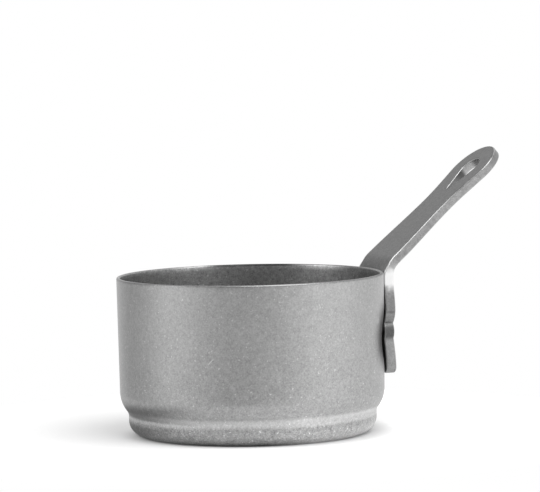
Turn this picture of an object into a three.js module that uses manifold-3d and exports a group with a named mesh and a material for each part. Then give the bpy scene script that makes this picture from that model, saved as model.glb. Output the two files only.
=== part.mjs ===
// Mini saucepan in tumbled steel: a drawn pan body with a stacking foot, and a handle bent from one
// flat plate, held to the wall by three rivets. Millimetres, +Z up. The origin is the centre of the
// base, on the surface that the pan stands on, and the handle points along +X.

import * as THREE from 'three';
import { mergeVertices } from 'three/addons/utils/BufferGeometryUtils.js';
import Module from 'manifold-3d';

// Pan body
const RIM_RADIUS = 45;
const PAN_HEIGHT = 53.5;
const WALL = 1.2;
const WALL_TAPER = 0.4;
const SHOULDER_ARC = 10;
const FOOT_STEP = 2.8;
const FOOT_CORNER = 5.3;
const FOOT_WALL = 1.5;
const CREASE_FILLET = 3;

// Handle plate, seen from the side
const PLATE = 3.25;
const EYE_PLATE = 2.9;
const ARRIS = 0.5;
const FLANGE_DROP = 35.3;
const BEND_DROP = 2.6;
const BEND_RADIUS = 6;
const ARM_RISE = THREE.MathUtils.degToRad(40.2);
const ARM_LENGTH = 44.2;

// Handle outline: half widths across the plate, and heights above the flange's lower edge
const BELL_HALF = 11.35;
const BELL_CORNER = 2.2;
const BELL_LEVEL = 5.5;
const WAIST_HALF = 9.5;
const WAIST_LEVEL = 11.8;
const NUB_HALF = 10.3;
const STEP_HALF = 9.3;
const STEP_LEVEL = 16.9;
const STEP_RISE = 2.2;
const EAR_HALF = 11.5;
const EAR_LEVEL = 22.5;
const BEND_HALF = 11.3;
const ARM_HALF = 10.5;
const NECK_HALF = 8.6;
const NECK_TO_EYE = 17.2;

// Hanging eye: a round end with a teardrop hole that points down the arm
const EYE_RADIUS = 10.9;
const EYE_JOIN_TURN = THREE.MathUtils.degToRad(100);
const HOLE_RADIUS = 4.3;
const HOLE_TIP_RADIUS = 1.2;
const HOLE_TIP_DISTANCE = 9.75;
const HOLE_CHAMFER = 0.4;

// Rivets
const RIVET_SHANK = 2;
const RIVET_HEAD = 3.4;
const RIVET_DOME = 1.3;
const RIVET_TAIL = 3;
const RIVET_TAIL_RISE = 0.8;
const UPPER_RIVET_LEVEL = 23.5;
const UPPER_RIVET_SPREAD = 6.2;
const LOWER_RIVET_LEVEL = 7;

// Clearances between neighbouring pieces
const SEAT_GAP = 0.3;
const HOLE_GAP = 0.3;

// Facets, and how far a cutter runs past what it cuts
const PAN_SIDES = 64;
const PAN_ARC_STEPS = 4;
const ROUND_SIDES = 20;
const ARC_STEPS = 2;
const BEND_STEPS = 8;
const CURVE_STEPS = 6;
const EYE_STEPS = 8;
const HOLE_STEPS = 4;
const TIP_TURN = THREE.MathUtils.degToRad(5);
const MERGE_TOLERANCE = 1e-4;
const CUTTER_REACH = 10;
const FACE_OVERSHOOT = 0.5;

// Colours read from the photograph
const BODY_STEEL = { color: 0x9b9b99, roughness: 0.48, metalness: 1 };
const HANDLE_STEEL = { color: 0x858583, roughness: 0.42, metalness: 1 };
const RIVET_STEEL = { color: 0x90908e, roughness: 0.45, metalness: 1 };

const wasm = await Module();
wasm.setup();

function toSolid(geometry) {
  const bare = geometry.clone();
  bare.deleteAttribute('normal');
  bare.deleteAttribute('uv');
  const merged = mergeVertices(bare, MERGE_TOLERANCE);
  const corners = merged.index.array;
  const faces = [];
  for (let i = 0; i < corners.length; i += 3) {
    const [a, b, c] = corners.slice(i, i + 3);
    if (a !== b && b !== c && c !== a) faces.push(a, b, c);
  }
  const mesh = new wasm.Mesh({
    numProp: 3,
    vertProperties: Float32Array.from(merged.attributes.position.array),
    triVerts: Uint32Array.from(faces),
  });
  return new wasm.Manifold(mesh);
}

function toMesh(name, solid, steel) {
  const cut = solid.getMesh();
  const geometry = new THREE.BufferGeometry();
  geometry.setAttribute('position', new THREE.BufferAttribute(cut.vertProperties, 3));
  geometry.setIndex(new THREE.BufferAttribute(cut.triVerts, 1));
  geometry.computeVertexNormals();
  const mesh = new THREE.Mesh(geometry, new THREE.MeshStandardMaterial(steel));
  mesh.name = name;
  return mesh;
}

// A profile of (radius, height) points turned about +Z.
function turned(points, sides) {
  return new THREE.LatheGeometry(points, sides).rotateX(Math.PI / 2);
}

// A turned profile laid along +X, at a place (y, z) on the wall.
function turnedAlongX(points, place) {
  return turned(points, ROUND_SIDES).rotateY(Math.PI / 2).translate(0, place.y, place.z);
}

// Pan body: the outer skin and the same skin set in by the wall. The wall tapers in from the rim to
// the shoulder, and the foot steps in from there. The shoulder arc and the crease fillet touch each
// other, so the height of the shoulder's centre follows from the foot.
const shoulderRadius = RIM_RADIUS - WALL_TAPER;
const footRadius = shoulderRadius - FOOT_STEP;
const footHeight = FOOT_CORNER + FOOT_WALL;
const creaseCentre = new THREE.Vector2(footRadius + CREASE_FILLET, footHeight);
const shoulderReach = creaseCentre.x - (shoulderRadius - SHOULDER_ARC);
const shoulderCentre = new THREE.Vector2(
  shoulderRadius - SHOULDER_ARC,
  footHeight + Math.sqrt((SHOULDER_ARC + CREASE_FILLET) ** 2 - shoulderReach ** 2),
);
const creaseTurn = Math.acos(shoulderReach / (SHOULDER_ARC + CREASE_FILLET));
const lipLevel = PAN_HEIGHT - WALL / 2;

function panSkin(inset) {
  const skin = new THREE.Path();
  const cornerCentre = footRadius - FOOT_CORNER;
  skin.moveTo(0, inset);
  skin.lineTo(cornerCentre, inset);
  skin.absarc(cornerCentre, FOOT_CORNER, FOOT_CORNER - inset, -Math.PI / 2, 0, false);
  skin.absarc(creaseCentre.x, creaseCentre.y, CREASE_FILLET + inset, Math.PI, Math.PI - creaseTurn, true);
  skin.absarc(shoulderCentre.x, shoulderCentre.y, SHOULDER_ARC - inset, -creaseTurn, 0, false);
  skin.lineTo(RIM_RADIUS - inset, lipLevel);
  return skin.getPoints(PAN_ARC_STEPS);
}

function lip() {
  const curl = new THREE.Path();
  curl.absarc(RIM_RADIUS - WALL / 2, lipLevel, WALL / 2, 0, Math.PI, false);
  return curl.getPoints(PAN_ARC_STEPS);
}

// Radius of the wall's outer skin at a height between the shoulder and the lip.
function wallRadius(z) {
  const along = (z - shoulderCentre.y) / (lipLevel - shoulderCentre.y);
  return THREE.MathUtils.lerp(shoulderRadius, RIM_RADIUS, along);
}

// Handle: a flat blank with rounded arrises, bent along the line of its pot-side face, which stands
// against the wall at its widest.
const flangeFace = RIM_RADIUS + SEAT_GAP;
const flangeFoot = PAN_HEIGHT - FLANGE_DROP;
const bendLevel = PAN_HEIGHT - BEND_DROP;
const bendTurn = Math.PI / 2 - ARM_RISE;
const faceRadius = BEND_RADIUS + PLATE;
const bendStart = bendLevel - flangeFoot;
const bendEnd = bendStart + faceRadius * bendTurn;
const eyeCentre = bendEnd + ARM_LENGTH;

// Where a point of the blank ends up: s along the plate, v across it, and a share of its thickness
// plus an offset below the pot-side face.
function bent(s, v, share, offset) {
  const thinning = THREE.MathUtils.clamp((s - bendEnd) / ARM_LENGTH, 0, 1);
  const depth = THREE.MathUtils.lerp(PLATE, EYE_PLATE, thinning) * share + offset;
  if (s <= bendStart) return new THREE.Vector3(flangeFace + depth, v, flangeFoot + s);
  const turn = Math.min((s - bendStart) / faceRadius, bendTurn);
  const past = Math.max(0, s - bendEnd);
  const radius = faceRadius - depth;
  return new THREE.Vector3(
    flangeFace + faceRadius - radius * Math.cos(turn) + past * Math.sin(turn),
    v,
    bendLevel + radius * Math.sin(turn) + past * Math.cos(turn),
  );
}

// One side of the blank's outline, from the flange's lower corner to the tip of the eye, as points
// (s, v): the bell, a waist with a small nub, the ears, the bend, the arm and the round eye.
function halfOutline() {
  const at = (s, v) => new THREE.Vector2(s, v);
  const runs = [];
  const arc = (s, v, radius, from, to, steps) =>
    runs.push({ curve: new THREE.EllipseCurve(s, v, radius, radius, from, to, true), steps });
  const corner = (from, control, to) =>
    runs.push({ curve: new THREE.QuadraticBezierCurve(from, control, to), steps: CURVE_STEPS });
  const sweep = (from, leave, arrive, to) =>
    runs.push({ curve: new THREE.CubicBezierCurve(from, leave, arrive, to), steps: CURVE_STEPS });

  const waist = at(WAIST_LEVEL, WAIST_HALF);
  const step = at(STEP_LEVEL, STEP_HALF);
  const ear = at(EAR_LEVEL, EAR_HALF);
  const bend = at(bendStart, BEND_HALF);
  const arm = at(bendEnd, ARM_HALF);
  const neck = at(eyeCentre - NECK_TO_EYE, NECK_HALF);
  const join = at(
    eyeCentre + EYE_RADIUS * Math.cos(EYE_JOIN_TURN),
    EYE_RADIUS * Math.sin(EYE_JOIN_TURN),
  );
  const nubControl = 2 * NUB_HALF - (WAIST_HALF + STEP_HALF) / 2;
  const earMiddle = (EAR_LEVEL + bendStart) / 2;
  const armThird = (neck.x - arm.x) / 3;
  const eyeThird = (join.x - neck.x) / 3;

  arc(BELL_CORNER, BELL_HALF - BELL_CORNER, BELL_CORNER, Math.PI, Math.PI / 2, ARC_STEPS);
  corner(at(BELL_CORNER, BELL_HALF), at(BELL_LEVEL, BELL_HALF), waist);
  corner(waist, at((WAIST_LEVEL + STEP_LEVEL) / 2, nubControl), step);
  corner(step, at(STEP_LEVEL + STEP_RISE, EAR_HALF), ear);
  sweep(ear, at(earMiddle, EAR_HALF), at(earMiddle, BEND_HALF), bend);
  runs.push({ curve: new THREE.LineCurve(bend, arm), steps: BEND_STEPS });
  sweep(arm, at(arm.x + armThird, ARM_HALF), at(neck.x - armThird, NECK_HALF), neck);
  const joinLead = at(-Math.sin(EYE_JOIN_TURN), Math.cos(EYE_JOIN_TURN)).multiplyScalar(eyeThird);
  sweep(neck, at(neck.x + eyeThird, NECK_HALF), join.clone().add(joinLead), join);
  arc(eyeCentre, 0, EYE_RADIUS, EYE_JOIN_TURN, TIP_TURN, EYE_STEPS);

  return runs.flatMap(({ curve, steps }, run) => {
    const stations = [];
    for (let k = run === 0 ? 0 : 1; k <= steps; k += 1) {
      const tangent = curve.getTangent(k / steps);
      stations.push({ point: curve.getPoint(k / steps), outward: at(-tangent.y, tangent.x) });
    }
    return stations;
  });
}

// A closed skin through layers that are mirror images across the plate's centre line. A layer is the
// points (s, v) of one side with its place through the thickness, and the first and last layers are
// closed straight across from side to side.
function mirroredLoft(layers) {
  const count = layers[0].half.length;
  const around = 2 * count;
  const last = (layers.length - 1) * around;
  const positions = [];
  const faces = [];
  const quad = (a, b, c, d) => faces.push(a, b, c, a, c, d);

  for (const { half, share, offset } of layers) {
    const otherHalf = half.map(({ x, y }) => new THREE.Vector2(x, -y)).reverse();
    for (const { x, y } of [...half, ...otherHalf]) {
      positions.push(...bent(x, y, share, offset).toArray());
    }
  }
  for (let upper = 0; upper < last; upper += around) {
    const lower = upper + around;
    for (let i = 0; i < around; i += 1) {
      const next = (i + 1) % around;
      quad(upper + i, upper + next, lower + next, lower + i);
    }
  }
  for (let i = 0; i + 1 < count; i += 1) {
    const mirror = around - 1 - i;
    quad(mirror, mirror - 1, i + 1, i);
    quad(last + i, last + i + 1, last + mirror - 1, last + mirror);
  }
  const geometry = new THREE.BufferGeometry();
  geometry.setAttribute('position', new THREE.Float32BufferAttribute(positions, 3));
  geometry.setIndex(faces);
  return toSolid(geometry);
}

// The bent plate: its outline is set in at the two faces, which rounds the arrises.
function bentPlate() {
  const stations = halfOutline();
  const setIn = (inset) => stations.map(
    ({ point, outward }) => point.clone().addScaledVector(outward, -inset),
  );
  const soft = ARRIS * (1 - Math.SQRT1_2);
  return mirroredLoft([
    { half: setIn(ARRIS), share: 0, offset: 0 },
    { half: setIn(soft), share: 0, offset: soft },
    { half: setIn(0), share: 0, offset: ARRIS },
    { half: setIn(0), share: 1, offset: -ARRIS },
    { half: setIn(soft), share: 1, offset: -soft },
    { half: setIn(ARRIS), share: 1, offset: 0 },
  ]);
}

// The hanging hole: a large circle on the eye's centre and a small one down the arm, joined by the
// lines that touch both. The cutter flares past each face, which chamfers the hole's edges.
function teardropCutter() {
  const lean = Math.acos((HOLE_RADIUS - HOLE_TIP_RADIUS) / HOLE_TIP_DISTANCE);
  const grown = (by) => {
    const side = new THREE.Path();
    const tip = eyeCentre - HOLE_TIP_DISTANCE;
    side.absarc(tip, 0, HOLE_TIP_RADIUS + by, Math.PI - TIP_TURN, Math.PI - lean, true);
    side.absarc(eyeCentre, 0, HOLE_RADIUS + by, Math.PI - lean, TIP_TURN, true);
    return side.getPoints(HOLE_STEPS);
  };
  const flare = HOLE_CHAMFER + FACE_OVERSHOOT;
  return mirroredLoft([
    { half: grown(flare), share: 0, offset: -FACE_OVERSHOOT },
    { half: grown(0), share: 0, offset: HOLE_CHAMFER },
    { half: grown(0), share: 1, offset: -HOLE_CHAMFER },
    { half: grown(flare), share: 1, offset: FACE_OVERSHOOT },
  ]);
}

// Rivets: a domed head outside the flange, a shank through the flange and the wall, and a low tail
// that is set against the round inside of the wall.
const rivetPlaces = [
  { name: 'rivet_upper_left', y: UPPER_RIVET_SPREAD, z: flangeFoot + UPPER_RIVET_LEVEL },
  { name: 'rivet_upper_right', y: -UPPER_RIVET_SPREAD, z: flangeFoot + UPPER_RIVET_LEVEL },
  { name: 'rivet_lower', y: 0, z: flangeFoot + LOWER_RIVET_LEVEL },
];

// The hole for a rivet's shank, cut from the pan's axis out past the flange.
function rivetBore(place) {
  const radius = RIVET_SHANK + HOLE_GAP;
  const end = flangeFace + PLATE + CUTTER_REACH;
  const bore = [[0, 0], [radius, 0], [radius, end], [0, end]];
  return toSolid(turnedAlongX(bore.map(([r, x]) => new THREE.Vector2(r, x)), place));
}

function pierced(solid) {
  return rivetPlaces.reduce((left, place) => left.subtract(rivetBore(place)), solid);
}

// A low spherical dome of a given base radius and rise, as a profile from its edge to the axis.
function dome(profile, radius, base, rise) {
  const ball = (radius ** 2 + rise ** 2) / (2 * Math.abs(rise));
  const spread = Math.asin(radius / ball);
  const facing = Math.sign(rise) * Math.PI / 2;
  const centre = base + rise - Math.sign(rise) * ball;
  profile.absarc(0, centre, ball, facing - Math.sign(rise) * spread, facing, rise < 0);
}

function rivet(place) {
  const insideRadius = wallRadius(place.z) - WALL - SEAT_GAP;
  const tailBase = Math.sqrt(insideRadius ** 2 - (Math.abs(place.y) + RIVET_TAIL) ** 2);
  const headSeat = flangeFace + PLATE + SEAT_GAP;

  const shank = new THREE.Path();
  shank.moveTo(0, tailBase);
  shank.lineTo(RIVET_SHANK, tailBase);
  shank.lineTo(RIVET_SHANK, headSeat);
  shank.lineTo(RIVET_HEAD, headSeat);
  dome(shank, RIVET_HEAD, headSeat, RIVET_DOME);

  const tail = new THREE.Path();
  tail.moveTo(0, flangeFace);
  tail.lineTo(RIVET_TAIL, flangeFace);
  dome(tail, RIVET_TAIL, tailBase, -RIVET_TAIL_RISE);

  const inside = new THREE.CylinderGeometry(insideRadius, insideRadius, 2 * CUTTER_REACH, PAN_SIDES)
    .rotateX(Math.PI / 2).translate(0, 0, place.z);
  const tailBlank = turnedAlongX(tail.getPoints(ARC_STEPS).reverse(), place);
  const setTail = toSolid(tailBlank).intersect(toSolid(inside));
  return toSolid(turnedAlongX(shank.getPoints(ARC_STEPS), place)).add(setTail);
}

function panBody() {
  const profile = [...panSkin(0), ...lip(), ...panSkin(WALL).reverse()];
  return pierced(toSolid(turned(profile, PAN_SIDES)));
}

function handle() {
  return pierced(bentPlate().subtract(teardropCutter()));
}

const saucepan = new THREE.Group();
saucepan.name = 'saucepan';
saucepan.add(toMesh('pan_body', panBody(), BODY_STEEL));
saucepan.add(toMesh('handle', handle(), HANDLE_STEEL));
for (const place of rivetPlaces) saucepan.add(toMesh(place.name, rivet(place), RIVET_STEEL));

export default saucepan;
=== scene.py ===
# The looks of a mini saucepan in tumbled steel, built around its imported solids: the pan as one fine
# turned shell, the handle as one bent plate and three domed rivets, with their finishes, a pale
# floor, soft studio light and a camera. Sizes are in millimetres and meshes in metres, +Z up.

import math
from functools import reduce

import bpy
import numpy as np
from mathutils import Matrix, Vector
from mathutils.geometry import delaunay_2d_cdt

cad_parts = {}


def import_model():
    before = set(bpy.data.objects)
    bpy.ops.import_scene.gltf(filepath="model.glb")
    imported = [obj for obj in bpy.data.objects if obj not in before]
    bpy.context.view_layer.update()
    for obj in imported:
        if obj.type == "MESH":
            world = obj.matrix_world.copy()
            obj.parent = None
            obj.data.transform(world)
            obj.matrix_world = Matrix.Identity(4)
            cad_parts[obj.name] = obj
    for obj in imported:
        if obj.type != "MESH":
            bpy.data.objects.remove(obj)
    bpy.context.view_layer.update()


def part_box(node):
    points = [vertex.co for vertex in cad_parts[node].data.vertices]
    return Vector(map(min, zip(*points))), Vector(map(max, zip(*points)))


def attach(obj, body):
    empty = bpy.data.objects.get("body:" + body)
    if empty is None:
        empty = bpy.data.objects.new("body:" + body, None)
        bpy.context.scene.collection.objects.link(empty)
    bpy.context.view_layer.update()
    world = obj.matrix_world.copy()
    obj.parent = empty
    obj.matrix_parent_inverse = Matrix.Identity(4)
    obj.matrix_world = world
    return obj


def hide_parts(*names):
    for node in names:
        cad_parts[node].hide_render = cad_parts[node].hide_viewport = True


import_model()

MM = 0.001


def node_box(node):
    """A solid's lowest and highest corners, in millimetres."""
    low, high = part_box(node)
    return low / MM, high / MM


# Places taken from the solids
pan_high = node_box("pan_body")[1]
handle_low = node_box("handle")[0]
RIM_RADIUS = pan_high.x
PAN_HEIGHT = pan_high.z
FLANGE_FACE = handle_low.x
FLANGE_FOOT = handle_low.z

# Pan body
WALL = 1.2
WALL_TAPER = 0.4
SHOULDER_ARC = 10
FOOT_STEP = 2.8
FOOT_CORNER = 5.3
FOOT_WALL = 1.5
CREASE_FILLET = 3

# Shallow hollows in the wall on both sides of the flange, where riveting has drawn the sheet in
HOLLOW_DEPTH = 0.9
HOLLOW_TURN = math.radians(24)
HOLLOW_SPREAD = math.radians(22)
HOLLOW_LEVEL = 31
HOLLOW_REACH = 11

# Painted shade around each hollow, as an oval on the wall, which shows where it is seen from the side
SHADE_OVAL_SPREAD = math.radians(21.5)
SHADE_OVAL_LEVEL = 32.6
SHADE_OVAL_REACH = 11.5

# Handle plate, seen from the side
PLATE = 3.25
EYE_PLATE = 2.9
ARRIS = 0.5
BEND_DROP = 2.6
BEND_RADIUS = 6
ARM_RISE = math.radians(40.2)
ARM_LENGTH = 44.2

# Around the bend's start the plate is slightly cupped, with its edges towards the pot. There and along
# the flange its pot-side edges are upset too, on the flange by a multiple of the bend's upset. The cup
# fades out below the start and above it, where the pot-side face comes first and the outer one second.
BEND_CUP = 0.55
BEND_UPSET = 0.4
FLANGE_UPSET = 1.25
CUP_BELOW = 12
CUP_ABOVE = (5, 9)

# Handle outline: half widths across the plate, and heights above the flange's lower edge
BELL_HALF = 11.35
BELL_CORNER = 2.2
BELL_LEVEL = 5.5
WAIST_HALF = 9.5
WAIST_LEVEL = 11.8
NUB_HALF = 10.3
STEP_HALF = 9.3
STEP_LEVEL = 16.9
STEP_RISE = 2.2
EAR_HALF = 11.5
EAR_LEVEL = 22.5
BEND_HALF = 11.3
ARM_HALF = 10.5
NECK_HALF = 8.6
NECK_TO_EYE = 17.2

# Hanging eye
EYE_RADIUS = 10.9
EYE_JOIN_TURN = math.radians(100)
HOLE_RADIUS = 4.3
HOLE_TIP_RADIUS = 1.2
HOLE_TIP_DISTANCE = 9.75
HOLE_ARRIS = 0.4

# Rivets
RIVET_SHANK = 2
RIVET_HEAD = 3.4
RIVET_TAIL = 3
RIVET_RIM = 0.3
RIVET_SINK = 0.1
RIVET_SHARP = math.radians(40)

# Facets
PAN_SIDES = 288
RIVET_SIDES = 48
ARC_STEPS = 12
LIP_STEPS = 14
WALL_STEPS = 36
CURVE_STEPS = 18
BEND_STEPS = 28
EYE_STEPS = 40
HOLE_STEPS = 20
ARRIS_STEPS = 5
CUP_COLUMNS = 8
FOOT_WALL_STEPS = 2
FLOOR_SIDES = 96

# Triangulation: keep the faces inside the outline, and merge points closer than this
KEEP_INSIDE = 1
MERGE_DISTANCE = 1e-6

# Greys of the steel, linear
BODY_GREY = 0.40
GROOVE_GREY = 0.56
# The lip is painted darker than the wall, as painted shade over its highlight
LIP_GREY = 0.28
# The inside is painted darker than the outside, as painted shade
INSIDE_GREY = 0.33
# Painted shade and light on the handle: faces darker than the pan, and edges and hole lighter and darker
HANDLE_GREY = 0.195
FLANGE_EDGE_GREY = 0.24
EDGE_GREY = 0.29
UPPER_EDGE_GREY = 0.36
EYE_EDGE_GREY = 0.25
EYE_TIP_GREY = 0.2
EYE_DARK_GREY = 0.1
EYE_WALL_GREY = 0.42
EYE_END_GREY = 0.2
# Worn arrises, also painted bright as a highlight
ARRIS_WEAR_AND_SHEEN_GREY = 0.42
# Bright worn steel: on the scratch, wear; on the bend, wear and a painted highlight
WORN_AND_SHEEN_GREY = 0.82
RIVET_GREY = 0.36

# Roughness and bump of the steel
BODY_ROUGHNESS = 0.38
GROOVE_ROUGHNESS = 0.34
HANDLE_ROUGHNESS = 0.4
WORN_ROUGHNESS = 0.32
RIVET_ROUGHNESS = 0.4
ROUGHNESS_SPREAD = 0.15
MOTTLE_BUMP = 0.6
BUMP_DEPTH = 0.02

# Noises of the surfaces: size, octaves and, for the grains, the weight of the finer octaves
CLOUD = (9, 3)
BODY_MOTTLE = (1.3, 2)
BODY_GRAIN = (0.5, 2, 0.6)
FLECKS = (0.7, 1)
HANDLE_MOTTLE = (1.4, 3)
HANDLE_GRAIN = (0.45, 2, 0.6)
RUBBED_AND_SHEEN_PATCHES = (3.5, 2)
RIVET_MOTTLE = (1.2, 3)
RIVET_GRAIN = (0.4, 2, 0.6)
FLOOR_CLOUD = (30, 2)

# Pan finish: levels above the base, depths below the lip's top, and weights of the noises. A speckle
# is how strongly the noises show.
OUTSIDE_END = 0.1
LOW_LEVELS = (2, 45)
LOW_SPECKLE = 1.1
SPECKLE = 0.8
FOOT_LEVELS = (5, 9)
FOOT_SPECKLE = 0.6
INSIDE_SPECKLE = 1.4
GROOVE_LEVELS = (6.1, 9.0)
GROOVE_SOFT = 0.7
GROOVE_CALM = 0.35
LIP_DEPTHS = (0.9, 0.3)
FLECK_RANGE = (0.15, 0.28)
MOTTLE_SHADE = 0.45
GRAIN_SHADE = 0.9
FLECK_SHADE = 0.55
CLOUD_SHADE = 0.15
# The painted shade beside the flange: where its oval fades out, and how much it darkens the grey
SHADE_OVAL_FADE = (0.5, 1.3)
FLANGE_SHADE_DEPTH = 0.12

# The far lip has painted shade, and under it two stretches of the inside have painted highlights. Places are
# shares of the rim's radius, and a stretch has its ends, from left to right, and its added brightness.
SHADED_LIP_BACK = (0.89, 0.95)
LIP_PAINTED_SHADE = 0.82
HIGHLIGHT_BACK = (0.3, 0.6)
HIGHLIGHT_DEPTHS = (2.4, 0.6)
HIGHLIGHT_SOFT = 0.12
HIGHLIGHT_STRETCHES = ((-0.6, -0.3, 0.6), (0.44, 0.66, 0.9))

# Marks on the wall: turn about the axis, level, lean, length and width. They end behind its face.
# The first mark is a painted highlight, a gap left in the painted shade beside the flange; the scratch is
# wear.
HIGHLIGHT_GAP = (math.radians(317.6), 38.6, 0, 3.2, 1.9)
SCRATCH = (math.radians(230.2), 28.6, math.radians(45), 2.4, 0.22)
SCRATCH_SHARE = 0.6
MARK_DEPTHS = (-3, -2)

# Handle finish: where the plate's side starts, as a share of its rounded arris, and the weights of the
# noises on the faces, the sides and the wall of the hole
SIDE_START = (0.75, 0.98)
FACE_SHADE = 0.8
SIDE_SHADE = 0.7
EYE_SHADE = 0.15

# Places along the blank from the flange's lower edge, where the plate's edge has painted light and shade. The
# bell's gain is a painted highlight, and a painted shadow on the plate's edge has its ends, softness and
# depth.
EDGE_RISE = (55, 74)
FLANGE_EDGE_FADE = (25, 30)
BELL_EDGE_FADE = (9.5, 12)
BELL_EDGE_GAIN = 1.2
EDGE_SHADOWS = ((12, 16.5, 0.9, 0.55), (20.6, 21.2, 0.5, 0.4))

# Places along the blank from the eye's centre, where the edge and the hole's wall have painted light and
# shade
EYE_EDGE_FADE = (-2, 4)
EYE_TIP_FADE = (-7, -3)
EYE_WALL_FADE = (-2.2, -0.2)
EYE_END_FADE = (2.2, 4)

# Wear of the arrises and of the bend, also painted bright as a highlight, whose ends the rubbed patches
# make ragged. The bend's wear and its arris lie along the blank, and its border across it.
ARRIS_WEAR_AND_SHEEN = (0.25, 0.9)
PATCH_RANGE = (-0.375, 0.0833)
RAGGEDNESS = 6
BEND_WEAR_AND_SHEEN_START = (27.5, 30.5)
BEND_WEAR_AND_SHEEN_END = (33, 39.5)
BEND_EDGE = (0.05, 0.5)
BEND_BORDER = (9.9, 10.7)
BEND_ARRIS = (31, 44)
BEND_ARRIS_SOFT = 3
BEND_ARRIS_WEAR_AND_SHEEN = (0.3, 0.8)

# Weight of the noises on the rivets
RIVET_SHADE = 0.5

# Photograph: its width in pixels, and the camera that fits it. Without its yaw the camera would face
# the pan's axis, and the handle is turned away from the picture plane.
PHOTO_WIDTH = 540
FOCAL_PIXELS = 3726
SENSOR = 36
CAMERA_DISTANCE = 1250
CAMERA_HEIGHT = 154.9
CAMERA_YAW = math.radians(0.318)
CAMERA_PITCH = math.radians(4.208)
CAMERA_ROLL = math.radians(1.165)
HANDLE_TURN = math.radians(22.4)

# Directions of the studio, seen from the camera
TO_RIGHT = Vector((math.cos(HANDLE_TURN), -math.sin(HANDLE_TURN), 0))
TO_BACK = Vector((math.sin(HANDLE_TURN), math.cos(HANDLE_TURN), 0))
UP = Vector((0, 0, 1))


# Meshes

def new_piece(name, points, faces, material, values=None):
    """A smooth mesh object from points in millimetres, with named numbers on its points."""
    mesh = bpy.data.meshes.new(name)
    mesh.from_pydata([tuple(np.asarray(p) * MM) for p in points], [], faces)
    for label, numbers in (values or {}).items():
        layer = mesh.attributes.new(label, "FLOAT", "POINT")
        layer.data.foreach_set("value", np.asarray(numbers, np.float32))
    mesh.shade_smooth()
    mesh.materials.append(material)
    piece = bpy.data.objects.new(name, mesh)
    bpy.context.scene.collection.objects.link(piece)
    return piece


def arc(centre, radius, start, end, steps):
    """Points of an arc, from one turn to another."""
    turns = np.linspace(start, end, steps + 1)
    return np.column_stack((centre[0] + radius * np.cos(turns), centre[1] + radius * np.sin(turns)))


def line(start, end, steps):
    """Points of a straight run, both ends included."""
    return np.linspace(start, end, steps + 1)


def chain(*runs):
    """Runs of points joined end to end, with the points where they meet taken once."""
    return np.vstack([runs[0]] + [run[1:] for run in runs[1:]])


def turned(profile, sides):
    """Points and faces of a profile of (radius, height), from axis to axis, turned about +Z."""
    turns = np.arange(sides) * 2 * math.pi / sides
    rings = profile[1:-1]
    points = [(0, 0, profile[0][1])]
    for radius, height in rings:
        points.extend((radius * math.cos(t), radius * math.sin(t), height) for t in turns)
    points.append((0, 0, profile[-1][1]))
    last = len(points) - 1
    top = last - sides
    faces = []
    for j in range(sides):
        k = (j + 1) % sides
        faces.append((0, 1 + k, 1 + j))
        for start in range(1, top, sides):
            faces.append((start + j, start + k, start + sides + k, start + sides + j))
        faces.append((top + j, top + k, last))
    return points, faces


# Pan body: the same skin outside and, set in by the wall, inside
shoulder_radius = RIM_RADIUS - WALL_TAPER
foot_radius = shoulder_radius - FOOT_STEP
foot_height = FOOT_CORNER + FOOT_WALL
crease_centre = (foot_radius + CREASE_FILLET, foot_height)
shoulder_reach = crease_centre[0] - (shoulder_radius - SHOULDER_ARC)
shoulder_rise = math.sqrt((SHOULDER_ARC + CREASE_FILLET) ** 2 - shoulder_reach ** 2)
shoulder_centre = (shoulder_radius - SHOULDER_ARC, foot_height + shoulder_rise)
crease_turn = math.acos(shoulder_reach / (SHOULDER_ARC + CREASE_FILLET))
lip_level = PAN_HEIGHT - WALL / 2


def pan_skin(inset):
    """Profile from the middle of the base up to the lip."""
    corner_centre = (foot_radius - FOOT_CORNER, FOOT_CORNER)
    wall_foot = (shoulder_radius - inset, shoulder_centre[1])
    foot_top = (foot_radius - inset, foot_height)
    return chain(
        line((0, inset), (corner_centre[0], inset), ARC_STEPS),
        arc(corner_centre, FOOT_CORNER - inset, -math.pi / 2, 0, ARC_STEPS),
        line((foot_radius - inset, FOOT_CORNER), foot_top, FOOT_WALL_STEPS),
        arc(crease_centre, CREASE_FILLET + inset, math.pi, math.pi - crease_turn, ARC_STEPS),
        arc(shoulder_centre, SHOULDER_ARC - inset, -crease_turn, 0, ARC_STEPS),
        line(wall_foot, (RIM_RADIUS - inset, lip_level), WALL_STEPS),
    )


def swell(offset):
    """1 at no offset, falling smoothly to 0 at an offset of 1."""
    return np.cos(np.minimum(np.abs(offset), 1) * math.pi / 2) ** 2


def beside_flange(points):
    """The pan's points with the wall drawn in beside the flange, and their place in the painted shade's oval.
    """
    turn = np.abs(np.arctan2(points[:, 1], points[:, 0])) - HOLLOW_TURN
    level = points[:, 2]
    hollow = swell(turn / HOLLOW_SPREAD) * swell((level - HOLLOW_LEVEL) / HOLLOW_REACH)
    radius = np.hypot(points[:, 0], points[:, 1])
    share = 1 - HOLLOW_DEPTH * hollow / np.maximum(radius, WALL)
    oval = np.hypot(turn / SHADE_OVAL_SPREAD, (level - SHADE_OVAL_LEVEL) / SHADE_OVAL_REACH)
    return points * np.column_stack((share, share, np.ones(len(points)))), oval


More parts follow.
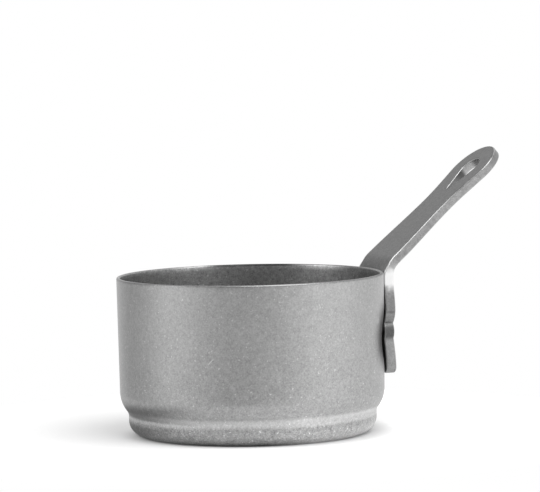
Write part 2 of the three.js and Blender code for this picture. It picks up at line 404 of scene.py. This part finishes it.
def pan_body(material):
    outer = pan_skin(0)
    inner = pan_skin(WALL)[::-1]
    lip = arc((RIM_RADIUS - WALL / 2, lip_level), WALL / 2, 0, math.pi, LIP_STEPS)
    profile = chain(outer, lip, inner)
    points, faces = turned(profile, PAN_SIDES)
    over_lip = np.linspace(0, 1, len(lip) - 1)
    inside = np.concatenate((np.zeros(len(outer)), over_lip, np.ones(len(inner) - 1)))
    ring_values = np.repeat(inside[1:-1], PAN_SIDES)
    points, oval = beside_flange(np.array(points))
    values = {"inside": np.concatenate(([0], ring_values, [1])), "oval": oval}
    return new_piece("saucepan_body", points, faces, material, values)


# Handle: a flat blank with rounded arrises, bent along the line of its pot-side face
bend_level = PAN_HEIGHT - BEND_DROP
bend_turn = math.pi / 2 - ARM_RISE
face_radius = BEND_RADIUS + PLATE
bend_start = bend_level - FLANGE_FOOT
bend_end = bend_start + face_radius * bend_turn
eye_centre = bend_end + ARM_LENGTH


def bent(along, across, share, offset):
    """Where points of the blank end up, at a share of its thickness plus an offset."""
    thinning = np.clip((along - bend_end) / ARM_LENGTH, 0, 1)
    past_start = along - bend_start
    above = CUP_ABOVE[0] + (CUP_ABOVE[1] - CUP_ABOVE[0]) * share
    cup = swell(past_start / np.where(past_start < 0, CUP_BELOW, above))
    upset = np.where(past_start < 0, cup + FLANGE_UPSET * (1 - cup), cup) * (1 - share)
    cup = (BEND_CUP * cup + BEND_UPSET * upset) * (across / BEND_HALF) ** 2
    depth = (PLATE + (EYE_PLATE - PLATE) * thinning) * share + offset - cup
    turn = np.clip((along - bend_start) / face_radius, 0, bend_turn)
    before = np.minimum(along, bend_start) - bend_start
    past = np.maximum(along - bend_end, 0)
    radius = face_radius - depth
    x = FLANGE_FACE + face_radius - radius * np.cos(turn) + past * np.sin(turn)
    z = bend_level + before + radius * np.sin(turn) + past * np.cos(turn)
    return np.column_stack((x, across, z))


def bezier(points, steps):
    """Points and directions of a quadratic or cubic curve."""
    points = np.asarray(points, float)
    degree = len(points) - 1
    share = np.linspace(0, 1, steps + 1)[:, None]

    def blend(controls):
        order = len(controls) - 1
        weights = [math.comb(order, k) * share**k * (1 - share) ** (order - k) for k in range(order + 1)]
        return sum(w * c for w, c in zip(weights, controls))

    return blend(points), blend(degree * np.diff(points, axis=0))


def clockwise(centre, radius, start, end, steps):
    """Points and directions of an arc that runs clockwise."""
    points = arc(centre, radius, start, end, steps)
    spokes = (points - np.asarray(centre)) / radius
    return points, np.column_stack((spokes[:, 1], -spokes[:, 0]))


def half_outline():
    """One side of the blank from the flange's lower corner to the tip: points and outward normals."""
    waist = (WAIST_LEVEL, WAIST_HALF)
    step = (STEP_LEVEL, STEP_HALF)
    ear = (EAR_LEVEL, EAR_HALF)
    bend = (bend_start, BEND_HALF)
    arm = (bend_end, ARM_HALF)
    neck = (eye_centre - NECK_TO_EYE, NECK_HALF)
    join_lean = np.array((math.cos(EYE_JOIN_TURN), math.sin(EYE_JOIN_TURN)))
    join = np.array((eye_centre, 0)) + EYE_RADIUS * join_lean
    nub_control = 2 * NUB_HALF - (WAIST_HALF + STEP_HALF) / 2
    ear_middle = (EAR_LEVEL + bend_start) / 2
    arm_third = (neck[0] - arm[0]) / 3
    eye_third = (join[0] - neck[0]) / 3
    join_lead = join + eye_third * np.array((-join_lean[1], join_lean[0]))
    bell_centre = (BELL_CORNER, BELL_HALF - BELL_CORNER)
    runs = [
        clockwise(bell_centre, BELL_CORNER, math.pi, math.pi / 2, ARC_STEPS),
        bezier([(BELL_CORNER, BELL_HALF), (BELL_LEVEL, BELL_HALF), waist], CURVE_STEPS),
        bezier([waist, ((WAIST_LEVEL + STEP_LEVEL) / 2, nub_control), step], CURVE_STEPS),
        bezier([step, (STEP_LEVEL + STEP_RISE, EAR_HALF), ear], CURVE_STEPS),
        bezier([ear, (ear_middle, EAR_HALF), (ear_middle, BEND_HALF), bend], CURVE_STEPS),
        bezier([bend, np.add(bend, arm) / 2, arm], BEND_STEPS),
        bezier([arm, (arm[0] + arm_third, ARM_HALF), (neck[0] - arm_third, NECK_HALF), neck], CURVE_STEPS),
        bezier([neck, (neck[0] + eye_third, NECK_HALF), join_lead, join], CURVE_STEPS),
        clockwise((eye_centre, 0), EYE_RADIUS, EYE_JOIN_TURN, 0, EYE_STEPS),
    ]
    points = chain(*[run[0] for run in runs])
    directions = chain(*[run[1] for run in runs])
    directions = directions / np.linalg.norm(directions, axis=1)[:, None]
    return points, np.column_stack((-directions[:, 1], directions[:, 0]))


def half_hole():
    """One side of the teardrop hole from its tip to its far end: points and outward normals."""
    lean = math.acos((HOLE_RADIUS - HOLE_TIP_RADIUS) / HOLE_TIP_DISTANCE)
    tip = (eye_centre - HOLE_TIP_DISTANCE, 0)
    small = arc(tip, HOLE_TIP_RADIUS, math.pi, math.pi - lean, ARC_STEPS)
    large = arc((eye_centre, 0), HOLE_RADIUS, math.pi - lean, 0, HOLE_STEPS)
    normals = np.vstack(((small - tip) / HOLE_TIP_RADIUS, (large - (eye_centre, 0)) / HOLE_RADIUS))
    return np.vstack((small, large)), normals


def mirrored(half, keep_first):
    """A closed loop from one side and its mirror image.

    Both share the last point, on the centre line, and the first too, unless both sides keep theirs.
    """
    other = half[::-1][1:] if keep_first else half[::-1][1:-1]
    return np.vstack((half, other * (1, -1)))


def arris_layers(radius):
    """For each layer through the plate: set-in, share of the thickness, offset, edge, and how worn and
    painted bright as a highlight it is.
    """
    turns = np.linspace(0, math.pi / 2, ARRIS_STEPS + 1)
    upper = [
        (radius * (1 - math.sin(t)), 0, radius * (1 - math.cos(t)), math.sin(t), math.sin(2 * t))
        for t in turns
    ]
    lower = [(inset, 1, -offset, edge, wear_and_sheen) for inset, share, offset, edge, wear_and_sheen in upper[::-1]]
    return upper + lower


def cap_layout(outline, hole, rung_ends, curved):
    """Points inside the flat face and its triangles, which number the outline, the hole, the inside.

    The face is crossed by rungs from side to side, and those marked as curved have points on them.
    """
    count = len(outline)
    around = count + len(hole)
    inside = []
    edges = [(i, (i + 1) % count) for i in range(count)]
    edges += [(count + i, count + (i + 1) % len(hole)) for i in range(len(hole))]
    for (left, right), is_curved in zip(rung_ends, curved):
        stops = [left, right]
        if is_curved:
            first = around + len(inside)
            inside.extend(np.linspace(outline[left], outline[right], CUP_COLUMNS + 1)[1:-1])
            stops = [left, *range(first, first + CUP_COLUMNS - 1), right]
        edges.extend(zip(stops, stops[1:]))
    inside = np.array(inside)
    corners = [Vector(p) for p in np.vstack((outline, hole, inside))]
    _, _, made, origins, _, _ = delaunay_2d_cdt(corners, edges, [], KEEP_INSIDE, MERGE_DISTANCE)
    source = [origin[0] for origin in origins]
    triangles = [tuple(source[i] for i in face) for face in made]
    in_hole = set(range(count, around))
    return inside, [t for t in triangles if not in_hole.issuperset(t)]


def side_faces(layer_count, count, hole_count):
    """Faces around the blank and around its hole, from layer to layer."""
    around = count + hole_count
    faces = []
    for layer in range(layer_count - 1):
        upper, lower = layer * around, (layer + 1) * around
        for i in range(count):
            k = (i + 1) % count
            faces.append((upper + i, upper + k, lower + k, lower + i))
        for i in range(count, around):
            k = count + (i + 1 - count) % hole_count
            faces.append((upper + k, upper + i, lower + i, lower + k))
    return faces


def handle(material):
    half, half_normals = half_outline()
    rim, rim_normals = half_hole()
    outline = mirrored(half, True)
    outward = mirrored(half_normals, True)
    hole = mirrored(rim, False)
    into_plate = mirrored(rim_normals, False)
    count = len(outline)
    around = count + len(hole)
    layers = list(zip(arris_layers(ARRIS), arris_layers(HOLE_ARRIS)))

    points = []
    values = {"along": [], "across": [], "edge": [], "wear_and_sheen": [], "eye_wall": []}
    for (inset, share, offset, edge, wear_and_sheen), (growth, _, hole_offset, hole_edge, hole_wear_and_sheen) in layers:
        ring = outline - inset * outward
        ring_inside = hole + growth * into_plate
        flat = np.vstack((ring, ring_inside))
        offsets = np.concatenate((np.full(count, offset), np.full(len(hole), hole_offset)))
        points.append(bent(flat[:, 0], flat[:, 1], share, offsets))
        values["along"].extend(flat[:, 0])
        values["across"].extend(flat[:, 1])
        values["edge"].extend([edge] * count + [hole_edge] * len(hole))
        values["wear_and_sheen"].extend([wear_and_sheen] * count + [hole_wear_and_sheen] * len(hole))
        values["eye_wall"].extend([0] * count + [1] * len(hole))

    faces = side_faces(len(layers), count, len(hole))
    hole_start = eye_centre - HOLE_TIP_DISTANCE - HOLE_TIP_RADIUS - 2 * HOLE_ARRIS
    rungs = [i for i in range(len(half)) if half[i, 0] < hole_start]
    rung_ends = [(i, count - 1 - i) for i in rungs]
    curved = [half[i, 0] - bend_start < CUP_ABOVE[1] for i in rungs]
    face_outline = outline - ARRIS * outward
    face_hole = hole + HOLE_ARRIS * into_plate
    inside, triangles = cap_layout(face_outline, face_hole, rung_ends, curved)
    for share, first_ring, flip in ((0, 0, True), (1, (len(layers) - 1) * around, False)):
        first_inside = sum(len(p) for p in points) - around
        points.append(bent(inside[:, 0], inside[:, 1], share, 0))
        values["along"].extend(inside[:, 0])
        values["across"].extend(inside[:, 1])
        for label in ("edge", "wear_and_sheen", "eye_wall"):
            values[label].extend([0] * len(inside))
        for triangle in triangles:
            numbers = [i + (first_ring if i < around else first_inside) for i in triangle]
            faces.append(tuple(numbers[::-1] if flip else numbers))
    piece = new_piece("saucepan_handle", np.vstack(points), faces, material, values)
    weighted = piece.modifiers.new("even faces", "WEIGHTED_NORMAL")
    weighted.keep_sharp = True
    return piece


# Rivets
def dome(radius, base, rise, steps):
    """Profile of a low dome from its edge to the axis."""
    ball = (radius**2 + rise**2) / (2 * abs(rise))
    side = math.copysign(1, rise)
    spread = math.asin(radius / ball)
    centre = (0, base + rise - side * ball)
    return arc(centre, ball, side * (math.pi / 2 - spread), side * math.pi / 2, steps)


def rivet(node, material):
    low, high = node_box(node)
    y = (low.y + high.y) / 2
    z = (low.z + high.z) / 2
    head_seat = FLANGE_FACE + PLATE - RIVET_SINK
    head_rim = FLANGE_FACE + PLATE + RIVET_RIM
    inside = shoulder_radius - WALL
    nearest = max(abs(y) - RIVET_TAIL, 0)
    furthest = abs(y) + RIVET_TAIL
    tail_seat = math.sqrt(inside**2 - nearest**2) + RIVET_SINK
    tail_rim = math.sqrt(inside**2 - furthest**2)
    profile = chain(
        dome(RIVET_TAIL, tail_rim, low.x - tail_rim, ARC_STEPS)[::-1],
        line((RIVET_TAIL, tail_rim), (RIVET_TAIL, tail_seat), 1),
        line((RIVET_TAIL, tail_seat), (RIVET_SHANK, tail_seat), 1),
        line((RIVET_SHANK, tail_seat), (RIVET_SHANK, head_seat), 1),
        line((RIVET_SHANK, head_seat), (RIVET_HEAD, head_seat), 1),
        line((RIVET_HEAD, head_seat), (RIVET_HEAD, head_rim), 1),
        dome(RIVET_HEAD, head_rim, high.x - head_rim, ARC_STEPS),
    )
    points, faces = turned(profile, RIVET_SIDES)
    placed = [(height, y + across, z - up) for up, across, height in points]
    piece = new_piece("saucepan_" + node, placed, faces, material)
    piece.data.set_sharp_from_angle(angle=RIVET_SHARP)
    return piece


# Materials
class Nodes:
    """Adds nodes to a tree. Inputs are given by name, as numbers or as other nodes' outputs."""

    def __init__(self, tree):
        self.tree = tree
        tree.nodes.clear()

    def add(self, kind, inputs=None, output=0, **settings):
        node = self.tree.nodes.new("ShaderNode" + kind)
        for name, value in settings.items():
            setattr(node, name, value)
        for name, value in (inputs or {}).items():
            if isinstance(value, bpy.types.NodeSocket):
                self.tree.links.new(value, node.inputs[name])
            else:
                node.inputs[name].default_value = value
        return node.outputs[output] if node.outputs else None

    def math(self, operation, a, b=0.0):
        return self.add("Math", {0: a, 1: b}, operation=operation)

    def product(self, *values):
        return reduce(lambda a, b: self.math("MULTIPLY", a, b), values)

    def total(self, *values):
        return reduce(lambda a, b: self.math("ADD", a, b), values)

    def weighted(self, terms):
        """The sum of values, each times its weight."""
        return self.total(*(self.product(value, weight) for value, weight in terms))

    def scaled(self, value, factor, offset):
        return self.add("Math", {0: value, 1: factor, 2: offset}, operation="MULTIPLY_ADD")

    def less(self, value, share=1.0):
        """1 less a share of the value."""
        return self.scaled(value, -share, 1)

    def dot(self, vector, direction):
        return self.add("VectorMath", {0: vector, 1: tuple(direction)}, "Value", operation="DOT_PRODUCT")

    def ramp(self, value, start, end, low=0.0, high=1.0):
        inputs = {"Value": value, "From Min": start, "From Max": end, "To Min": low, "To Max": high}
        return self.add("MapRange", inputs, interpolation_type="SMOOTHSTEP")

    def between(self, value, low, high, soft):
        """1 from low to high, and 0 outside, with soft ends."""
        rise = self.ramp(value, low - soft, low + soft)
        fall = self.ramp(value, high - soft, high + soft, 1, 0)
        return self.product(rise, fall)

    def mix(self, share, a, b):
        return self.add("Mix", {0: share, 2: a, 3: b}, data_type="FLOAT")

    def attribute(self, name):
        return self.add("Attribute", output="Fac", attribute_name=name)

    def noise(self, position, size, detail=2.0, roughness=0.5):
        """Noise about 0, with features of about the given size in millimetres."""
        inputs = {"Vector": position, "Scale": 1 / size, "Detail": detail, "Roughness": roughness}
        return self.math("SUBTRACT", self.add("TexNoise", inputs), 0.5)


def new_material(name):
    material = bpy.data.materials.new(name)
    material.use_nodes = True
    return material, Nodes(material.node_tree)


def millimetres(nodes):
    """Object coordinates in millimetres."""
    place = nodes.add("TexCoord", output="Object")
    return nodes.add("VectorMath", {0: place, "Scale": 1 / MM}, operation="SCALE")


def finish_steel(nodes, grey, roughness, height, grazing=None):
    """A metal surface from its grey, its roughness and a height in shares of the bump's depth.

    Grazing is the share of its shine that stays when it is seen from the side, if not all of it does.
    """
    bump = nodes.add("Bump", {"Strength": 1.0, "Distance": BUMP_DEPTH * MM, "Height": height})
    inputs = {"Base Color": grey, "Metallic": 1.0, "Roughness": roughness, "Normal": bump}
    if grazing is not None:
        inputs["Specular Tint"] = grazing
    nodes.add("OutputMaterial", {"Surface": nodes.add("BsdfPrincipled", inputs)})


def mark(nodes, place, turn, level, lean, length, width):
    """1 on a short straight mark on the wall, leaning to the right seen from outside, 0 elsewhere."""
    outward = Vector((math.cos(turn), math.sin(turn), 0))
    beside = UP.cross(outward)
    middle = outward * shoulder_radius + UP * level
    offset = nodes.add("VectorMath", {0: place, 1: tuple(middle)}, operation="SUBTRACT")
    along = nodes.dot(offset, beside * math.cos(lean) + UP * math.sin(lean))
    across = nodes.dot(offset, UP * math.cos(lean) - beside * math.sin(lean))
    return nodes.product(
        nodes.between(along, -length / 2, length / 2, length / 4),
        nodes.between(across, -width / 2, width / 2, width / 2),
        nodes.ramp(nodes.dot(offset, outward), *MARK_DEPTHS),
    )


def below_top(depths):
    """Levels of the pan from depths below the lip's top."""
    return [PAN_HEIGHT - depth for depth in depths]


def far_lip_painted_light(nodes, place, level, lip, inside):
    """Painted shade on the far lip and painted highlights on the inside under it, as a factor on the grey."""
    backward = nodes.math("DIVIDE", nodes.dot(place, TO_BACK), RIM_RADIUS)
    rightward = nodes.math("DIVIDE", nodes.dot(place, TO_RIGHT), RIM_RADIUS)
    lip_shadow = nodes.product(lip, nodes.ramp(backward, *SHADED_LIP_BACK, 0, LIP_PAINTED_SHADE))
    stretches = nodes.weighted(
        (nodes.between(rightward, left, right, HIGHLIGHT_SOFT), gain)
        for left, right, gain in HIGHLIGHT_STRETCHES
    )
    under_lip = nodes.ramp(level, *below_top(HIGHLIGHT_DEPTHS))
    highlights = nodes.product(stretches, under_lip, inside, nodes.ramp(backward, *HIGHLIGHT_BACK))
    return nodes.product(nodes.less(lip_shadow), nodes.total(highlights, 1.0))


def body_steel():
    material, nodes = new_material("tumbled steel, pan body")
    place = millimetres(nodes)
    level = nodes.add("SeparateXYZ", {0: place}, "Z")
    inside = nodes.attribute("inside")
    outside = nodes.ramp(inside, 0, OUTSIDE_END, 1, 0)
    groove = nodes.product(nodes.between(level, *GROOVE_LEVELS, GROOVE_SOFT), outside)
    lip = nodes.ramp(level, *below_top(LIP_DEPTHS))
    oval = nodes.ramp(nodes.attribute("oval"), *SHADE_OVAL_FADE, 1, 0)
    # Painted shade beside the flange, with a gap left bright as a painted highlight
    flange_shade = nodes.product(oval, outside, nodes.less(mark(nodes, place, *HIGHLIGHT_GAP)))
    mottle = nodes.noise(place, *BODY_MOTTLE)
    grain = nodes.noise(place, *BODY_GRAIN)
    fleck = nodes.ramp(nodes.noise(place, *FLECKS), *FLECK_RANGE)

    grey = nodes.mix(inside, BODY_GREY, INSIDE_GREY)
    grey = nodes.mix(groove, grey, GROOVE_GREY)
    grey = nodes.mix(lip, grey, LIP_GREY)
    # The far lip's painted shade and the painted highlights under it
    grey = nodes.product(grey, far_lip_painted_light(nodes, place, level, lip, inside))

    speckle = nodes.total(
        nodes.ramp(level, *LOW_LEVELS, LOW_SPECKLE, SPECKLE), nodes.ramp(level, *FOOT_LEVELS, FOOT_SPECKLE, 0)
    )
    speckle = nodes.product(nodes.mix(inside, speckle, INSIDE_SPECKLE), nodes.less(groove, GROOVE_CALM))
    shade = nodes.weighted(((mottle, MOTTLE_SHADE), (grain, GRAIN_SHADE), (fleck, FLECK_SHADE)))
    shade = nodes.weighted(((shade, speckle), (nodes.noise(place, *CLOUD), CLOUD_SHADE)))
    grey = nodes.product(grey, nodes.total(shade, 1.0), nodes.less(flange_shade, FLANGE_SHADE_DEPTH))
    scratch = nodes.product(mark(nodes, place, *SCRATCH), SCRATCH_SHARE)
    grey = nodes.mix(scratch, grey, WORN_AND_SHEEN_GREY)

    roughness = nodes.mix(groove, BODY_ROUGHNESS, GROOVE_ROUGHNESS)
    roughness = nodes.scaled(mottle, ROUGHNESS_SPREAD, roughness)
    height = nodes.scaled(mottle, MOTTLE_BUMP, grain)
    # The painted shade beside the flange also takes shine away where the wall is seen from the side
    finish_steel(nodes, grey, roughness, height, nodes.less(flange_shade))
    return material


def past_eye(distances):
    """Places along the blank from distances past the eye's centre."""
    return [eye_centre + distance for distance in distances]


def painted_edge_grey(nodes, along):
    """The grey of the plate's edge, from the flange to the eye, with painted light and shade along it."""
    grey = nodes.ramp(along, *EDGE_RISE, EDGE_GREY, UPPER_EDGE_GREY)
    grey = nodes.mix(nodes.ramp(along, *past_eye(EYE_EDGE_FADE)), grey, EYE_EDGE_GREY)
    grey = nodes.mix(nodes.ramp(along, *FLANGE_EDGE_FADE, 1, 0), grey, FLANGE_EDGE_GREY)
    grey = nodes.product(grey, nodes.ramp(along, *BELL_EDGE_FADE, BELL_EDGE_GAIN, 1))
    for start, end, soft, depth in EDGE_SHADOWS:
        grey = nodes.product(grey, nodes.less(nodes.between(along, start, end, soft), depth))
    return grey


def painted_hole_grey(nodes, along):
    """The grey of the hanging hole's wall, from its tip to its far end, with painted light and shade."""
    grey = nodes.ramp(along, *past_eye(EYE_TIP_FADE), EYE_TIP_GREY, EYE_DARK_GREY)
    grey = nodes.mix(nodes.ramp(along, *past_eye(EYE_WALL_FADE)), grey, EYE_WALL_GREY)
    return nodes.mix(nodes.ramp(along, *past_eye(EYE_END_FADE)), grey, EYE_END_GREY)


def handle_steel():
    material, nodes = new_material("tumbled steel, handle")
    place = millimetres(nodes)
    along = nodes.attribute("along")
    across = nodes.math("ABSOLUTE", nodes.attribute("across"))
    edge = nodes.attribute("edge")
    side = nodes.ramp(edge, *SIDE_START)
    eye_wall = nodes.product(side, nodes.attribute("eye_wall"))
    mottle = nodes.noise(place, *HANDLE_MOTTLE)
    grain = nodes.noise(place, *HANDLE_GRAIN)
    patches = nodes.noise(place, *RUBBED_AND_SHEEN_PATCHES)

    # The sides and the hole's wall take greys with painted light and shade
    side_grey = nodes.mix(eye_wall, painted_edge_grey(nodes, along), painted_hole_grey(nodes, along))
    grey = nodes.mix(side, HANDLE_GREY, side_grey)
    strength = nodes.mix(eye_wall, nodes.mix(side, FACE_SHADE, SIDE_SHADE), EYE_SHADE)
    shade = nodes.product(nodes.total(mottle, grain), strength)
    grey = nodes.product(grey, nodes.total(shade, 1.0))

    wear_and_sheen = nodes.ramp(nodes.attribute("wear_and_sheen"), *ARRIS_WEAR_AND_SHEEN)
    rubbed_and_sheen = nodes.ramp(patches, *PATCH_RANGE)
    # The arrises are worn and painted bright as a highlight
    grey = nodes.mix(nodes.product(wear_and_sheen, rubbed_and_sheen), grey, ARRIS_WEAR_AND_SHEEN_GREY)
    ragged = nodes.scaled(patches, RAGGEDNESS, along)
    # The bend is worn and painted bright as a highlight
    bend_wear_and_sheen = nodes.product(
        nodes.ramp(ragged, *BEND_WEAR_AND_SHEEN_START),
        nodes.ramp(ragged, *BEND_WEAR_AND_SHEEN_END, 1, 0),
        nodes.math("MAXIMUM", nodes.ramp(edge, *BEND_EDGE), nodes.ramp(across, *BEND_BORDER)),
    )
    bend_arris = nodes.product(
        wear_and_sheen, nodes.between(ragged, *BEND_ARRIS, BEND_ARRIS_SOFT), nodes.mix(rubbed_and_sheen, *BEND_ARRIS_WEAR_AND_SHEEN)
    )
    grey = nodes.mix(nodes.math("MAXIMUM", bend_wear_and_sheen, bend_arris), grey, WORN_AND_SHEEN_GREY)

    roughness = nodes.mix(bend_wear_and_sheen, HANDLE_ROUGHNESS, WORN_ROUGHNESS)
    roughness = nodes.scaled(mottle, ROUGHNESS_SPREAD, roughness)
    finish_steel(nodes, grey, roughness, nodes.scaled(mottle, MOTTLE_BUMP, grain))
    return material


def rivet_steel():
    material, nodes = new_material("tumbled steel, rivets")
    place = millimetres(nodes)
    mottle = nodes.noise(place, *RIVET_MOTTLE)
    grain = nodes.noise(place, *RIVET_GRAIN)
    shade = nodes.product(nodes.total(mottle, grain), RIVET_SHADE)
    grey = nodes.product(nodes.total(shade, 1.0), RIVET_GREY)
    finish_steel(nodes, grey, nodes.scaled(mottle, ROUGHNESS_SPREAD, RIVET_ROUGHNESS), grain)
    return material


# Stage: the floor's reaches are distances from the pan's axis, and a pair named for left and right has
# a value for each side. The glow makes the floor white away from the foot, and the metal mirrors a share
# of it, with more close to the foot. A painted shadow on the left, near the foot, shows only in the metal.
FLOOR_RADIUS = 130
FLOOR_GREY = 0.8
FLOOR_CLOUD_SHADE = 0.01
FLOOR_LEFT_TO_RIGHT = (-30, 40)
GLOW_LEFT_RIGHT = (0.2, 0.36)
GLOW_SHIFT_LEFT_RIGHT = (-4.5, 3.2)
GLOW_REACH = (38, 50)
GLOW_MIRRORED = 0.6
FOOT_MIRRORED = 1.1
FOOT_REACH = (46, 56)
FOOT_RIGHTWARD = (0, 24)
MIRRORED_SHADOW_SHARE = 0.6
MIRRORED_SHADOW_REACH = (58, 72)
MIRRORED_SHADOW_RIGHTWARD = (-50, -28)


def seen(nodes, in_mirror, direct=1.0):
    """One share for rays from the camera or through glass, and another for rays that a surface mirrors."""
    rays = nodes.add("LightPath").node
    straight = nodes.math("MAXIMUM", rays.outputs["Is Camera Ray"], rays.outputs["Is Transmission Ray"])
    by_mirror = nodes.product(rays.outputs["Is Glossy Ray"], in_mirror)
    return nodes.math("MAXIMUM", nodes.product(straight, direct), by_mirror)


def floor_finish():
    material, nodes = new_material("pale floor")
    place = millimetres(nodes)
    reach = nodes.add("VectorMath", {0: place}, "Value", operation="LENGTH")
    rightward = nodes.dot(place, TO_RIGHT)
    on_right = nodes.ramp(rightward, *FLOOR_LEFT_TO_RIGHT)
    # A painted shadow on the floor's left near the foot, seen only in the metal
    mirrored_shadow = nodes.product(
        nodes.add("LightPath").node.outputs["Is Glossy Ray"],
        nodes.ramp(rightward, *MIRRORED_SHADOW_RIGHTWARD, MIRRORED_SHADOW_SHARE, 0),
        nodes.ramp(reach, *MIRRORED_SHADOW_REACH, 1, 0),
    )
    grey = nodes.scaled(nodes.noise(place, *FLOOR_CLOUD), FLOOR_CLOUD_SHADE, FLOOR_GREY)
    matt = nodes.add("BsdfDiffuse", {"Color": nodes.product(grey, nodes.less(mirrored_shadow))})

    shifted = nodes.math("SUBTRACT", reach, nodes.mix(on_right, *GLOW_SHIFT_LEFT_RIGHT))
    beyond_foot = nodes.ramp(shifted, *GLOW_REACH)
    by_foot = nodes.product(nodes.ramp(reach, *FOOT_REACH, 1, 0), nodes.ramp(rightward, *FOOT_RIGHTWARD))
    in_mirror = nodes.math(
        "MAXIMUM",
        nodes.product(on_right, beyond_foot, GLOW_MIRRORED),
        nodes.product(by_foot, FOOT_MIRRORED),
    )
    strength = nodes.product(seen(nodes, in_mirror, beyond_foot), nodes.mix(on_right, *GLOW_LEFT_RIGHT))
    glow = nodes.add("Emission", {"Strength": strength})
    nodes.add("OutputMaterial", {"Surface": nodes.add("AddShader", {0: matt, 1: glow})})
    return material


def floor():
    rim = arc((0, 0), FLOOR_RADIUS, 0, 2 * math.pi, FLOOR_SIDES)[:-1]
    points = [(x, y, 0) for x, y in rim]
    piece = new_piece("floor", points, [tuple(range(len(points)))], floor_finish())


# The studio's brightness by the direction, as a share of a full turn: 0 is behind the camera, 0.25 the
# right, 0.5 the white background and 0.75 the left
SURROUND = (
    (0.0, 0.38),
    (0.06, 0.58),
    (0.10, 0.94),
    (0.153, 1.25),
    (0.20, 1.32),
    (0.26, 1.18),
    (0.31, 1.02),
    (0.364, 1.0),
    (0.5, 0.95),
    (0.57, 0.84),
    (0.655, 0.40),
    (0.72, 0.54),
    (0.79, 1.15),
    (0.825, 1.06),
    (0.889, 0.68),
    (0.947, 0.33),
)
BACKDROP = (0.42, 0.56)
BACKDROP_SOFT = 0.05

# Brightness above and below, and the heights of the directions where it takes over
OVERHEAD = 0.5
OVERHEAD_RISE = (0.4, 0.95)
GROUND = 1.2
GROUND_RISE = (-0.3, 0)

# Softboxes: degrees to the right of the camera side and up, then distance, size and power
KEY = {"turn": 40, "rise": 63, "distance": 900, "width": 700, "height": 700, "watts": 5.3}
FILL = {"turn": -75, "rise": 28, "distance": 900, "width": 500, "height": 500, "watts": 1.3}


def world():
    made = bpy.data.worlds.new("studio")
    bpy.context.scene.world = made
    made.use_nodes = True
    nodes = Nodes(made.node_tree)
    direction = nodes.add("TexCoord", output="Generated")
    rightward = nodes.dot(direction, TO_RIGHT)
    toward = nodes.dot(direction, -TO_BACK)
    azimuth = nodes.math("ARCTAN2", rightward, toward)
    share = nodes.math("FRACT", nodes.math("DIVIDE", azimuth, 2 * math.pi))
    around = nodes.add("ValToRGB", {"Fac": share})
    stops = around.node.color_ramp
    stops.interpolation = "EASE"
    stops.elements.remove(stops.elements[0])
    stops.elements[0].position = 1.0
    stops.elements[0].color = (SURROUND[0][1],) * 3 + (1,)
    for position, grey in SURROUND:
        stops.elements.new(position).color = (grey, grey, grey, 1)
    height = nodes.add("SeparateXYZ", {0: direction}, "Z")
    light = nodes.mix(nodes.ramp(height, *OVERHEAD_RISE), around, OVERHEAD)
    light = nodes.math("MAXIMUM", light, nodes.ramp(height, *GROUND_RISE, GROUND, 0))
    backdrop = nodes.between(share, *BACKDROP, BACKDROP_SOFT)
    strength = nodes.mix(seen(nodes, backdrop), light, 1.0)
    studio = nodes.add("Background", {"Color": (1, 1, 1, 1), "Strength": strength})
    nodes.add("OutputWorld", {"Surface": studio})


def softbox(name, turn, rise, distance, width, height, watts):
    """A soft lamp aimed at the pan, turned to the right of the camera side and raised, in degrees."""
    turn, rise = math.radians(turn), math.radians(rise)
    flat = math.sin(turn) * TO_RIGHT - math.cos(turn) * TO_BACK
    away = math.cos(rise) * flat + math.sin(rise) * UP
    lamp = bpy.data.lights.new(name, "AREA")
    lamp.shape = "RECTANGLE"
    lamp.size = width * MM
    lamp.size_y = height * MM
    lamp.energy = watts
    box = bpy.data.objects.new(name, lamp)
    bpy.context.scene.collection.objects.link(box)
    box.location = (away * distance + UP * PAN_HEIGHT / 2) * MM
    box.rotation_euler = away.to_track_quat("Z", "Y").to_euler()


def camera():
    yaw, pitch, roll = CAMERA_YAW, CAMERA_PITCH, CAMERA_ROLL
    level_ahead = math.cos(yaw) * TO_BACK + math.sin(yaw) * TO_RIGHT
    ahead = math.cos(pitch) * level_ahead - math.sin(pitch) * UP
    right = ahead.cross(UP).normalized()
    up = right.cross(ahead)
    rolled_right = right * math.cos(roll) - up * math.sin(roll)
    rolled_up = up * math.cos(roll) + right * math.sin(roll)
    lens = bpy.data.cameras.new("camera")
    lens.sensor_fit = "HORIZONTAL"
    lens.sensor_width = SENSOR
    lens.lens = SENSOR * FOCAL_PIXELS / PHOTO_WIDTH
    eye = bpy.data.objects.new("camera", lens)
    bpy.context.scene.collection.objects.link(eye)
    turn = Matrix((rolled_right, rolled_up, -ahead)).transposed().to_4x4()
    place = (UP * CAMERA_HEIGHT - TO_BACK * CAMERA_DISTANCE) * MM
    eye.matrix_world = Matrix.Translation(place) @ turn
    bpy.context.scene.camera = eye


def dress(piece, node):
    """A piece stands for a solid and moves with the object, and the solid is hidden."""
    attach(piece, "root")
    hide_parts(node)


camera()
world()
softbox("key", **KEY)
softbox("fill", **FILL)
floor()

dress(pan_body(body_steel()), "pan_body")
dress(handle(handle_steel()), "handle")
rivet_finish = rivet_steel()
for rivet_node in ("rivet_upper_left", "rivet_upper_right", "rivet_lower"):
    dress(rivet(rivet_node, rivet_finish), rivet_node)

bpy.context.scene.view_settings.view_transform = "Standard"
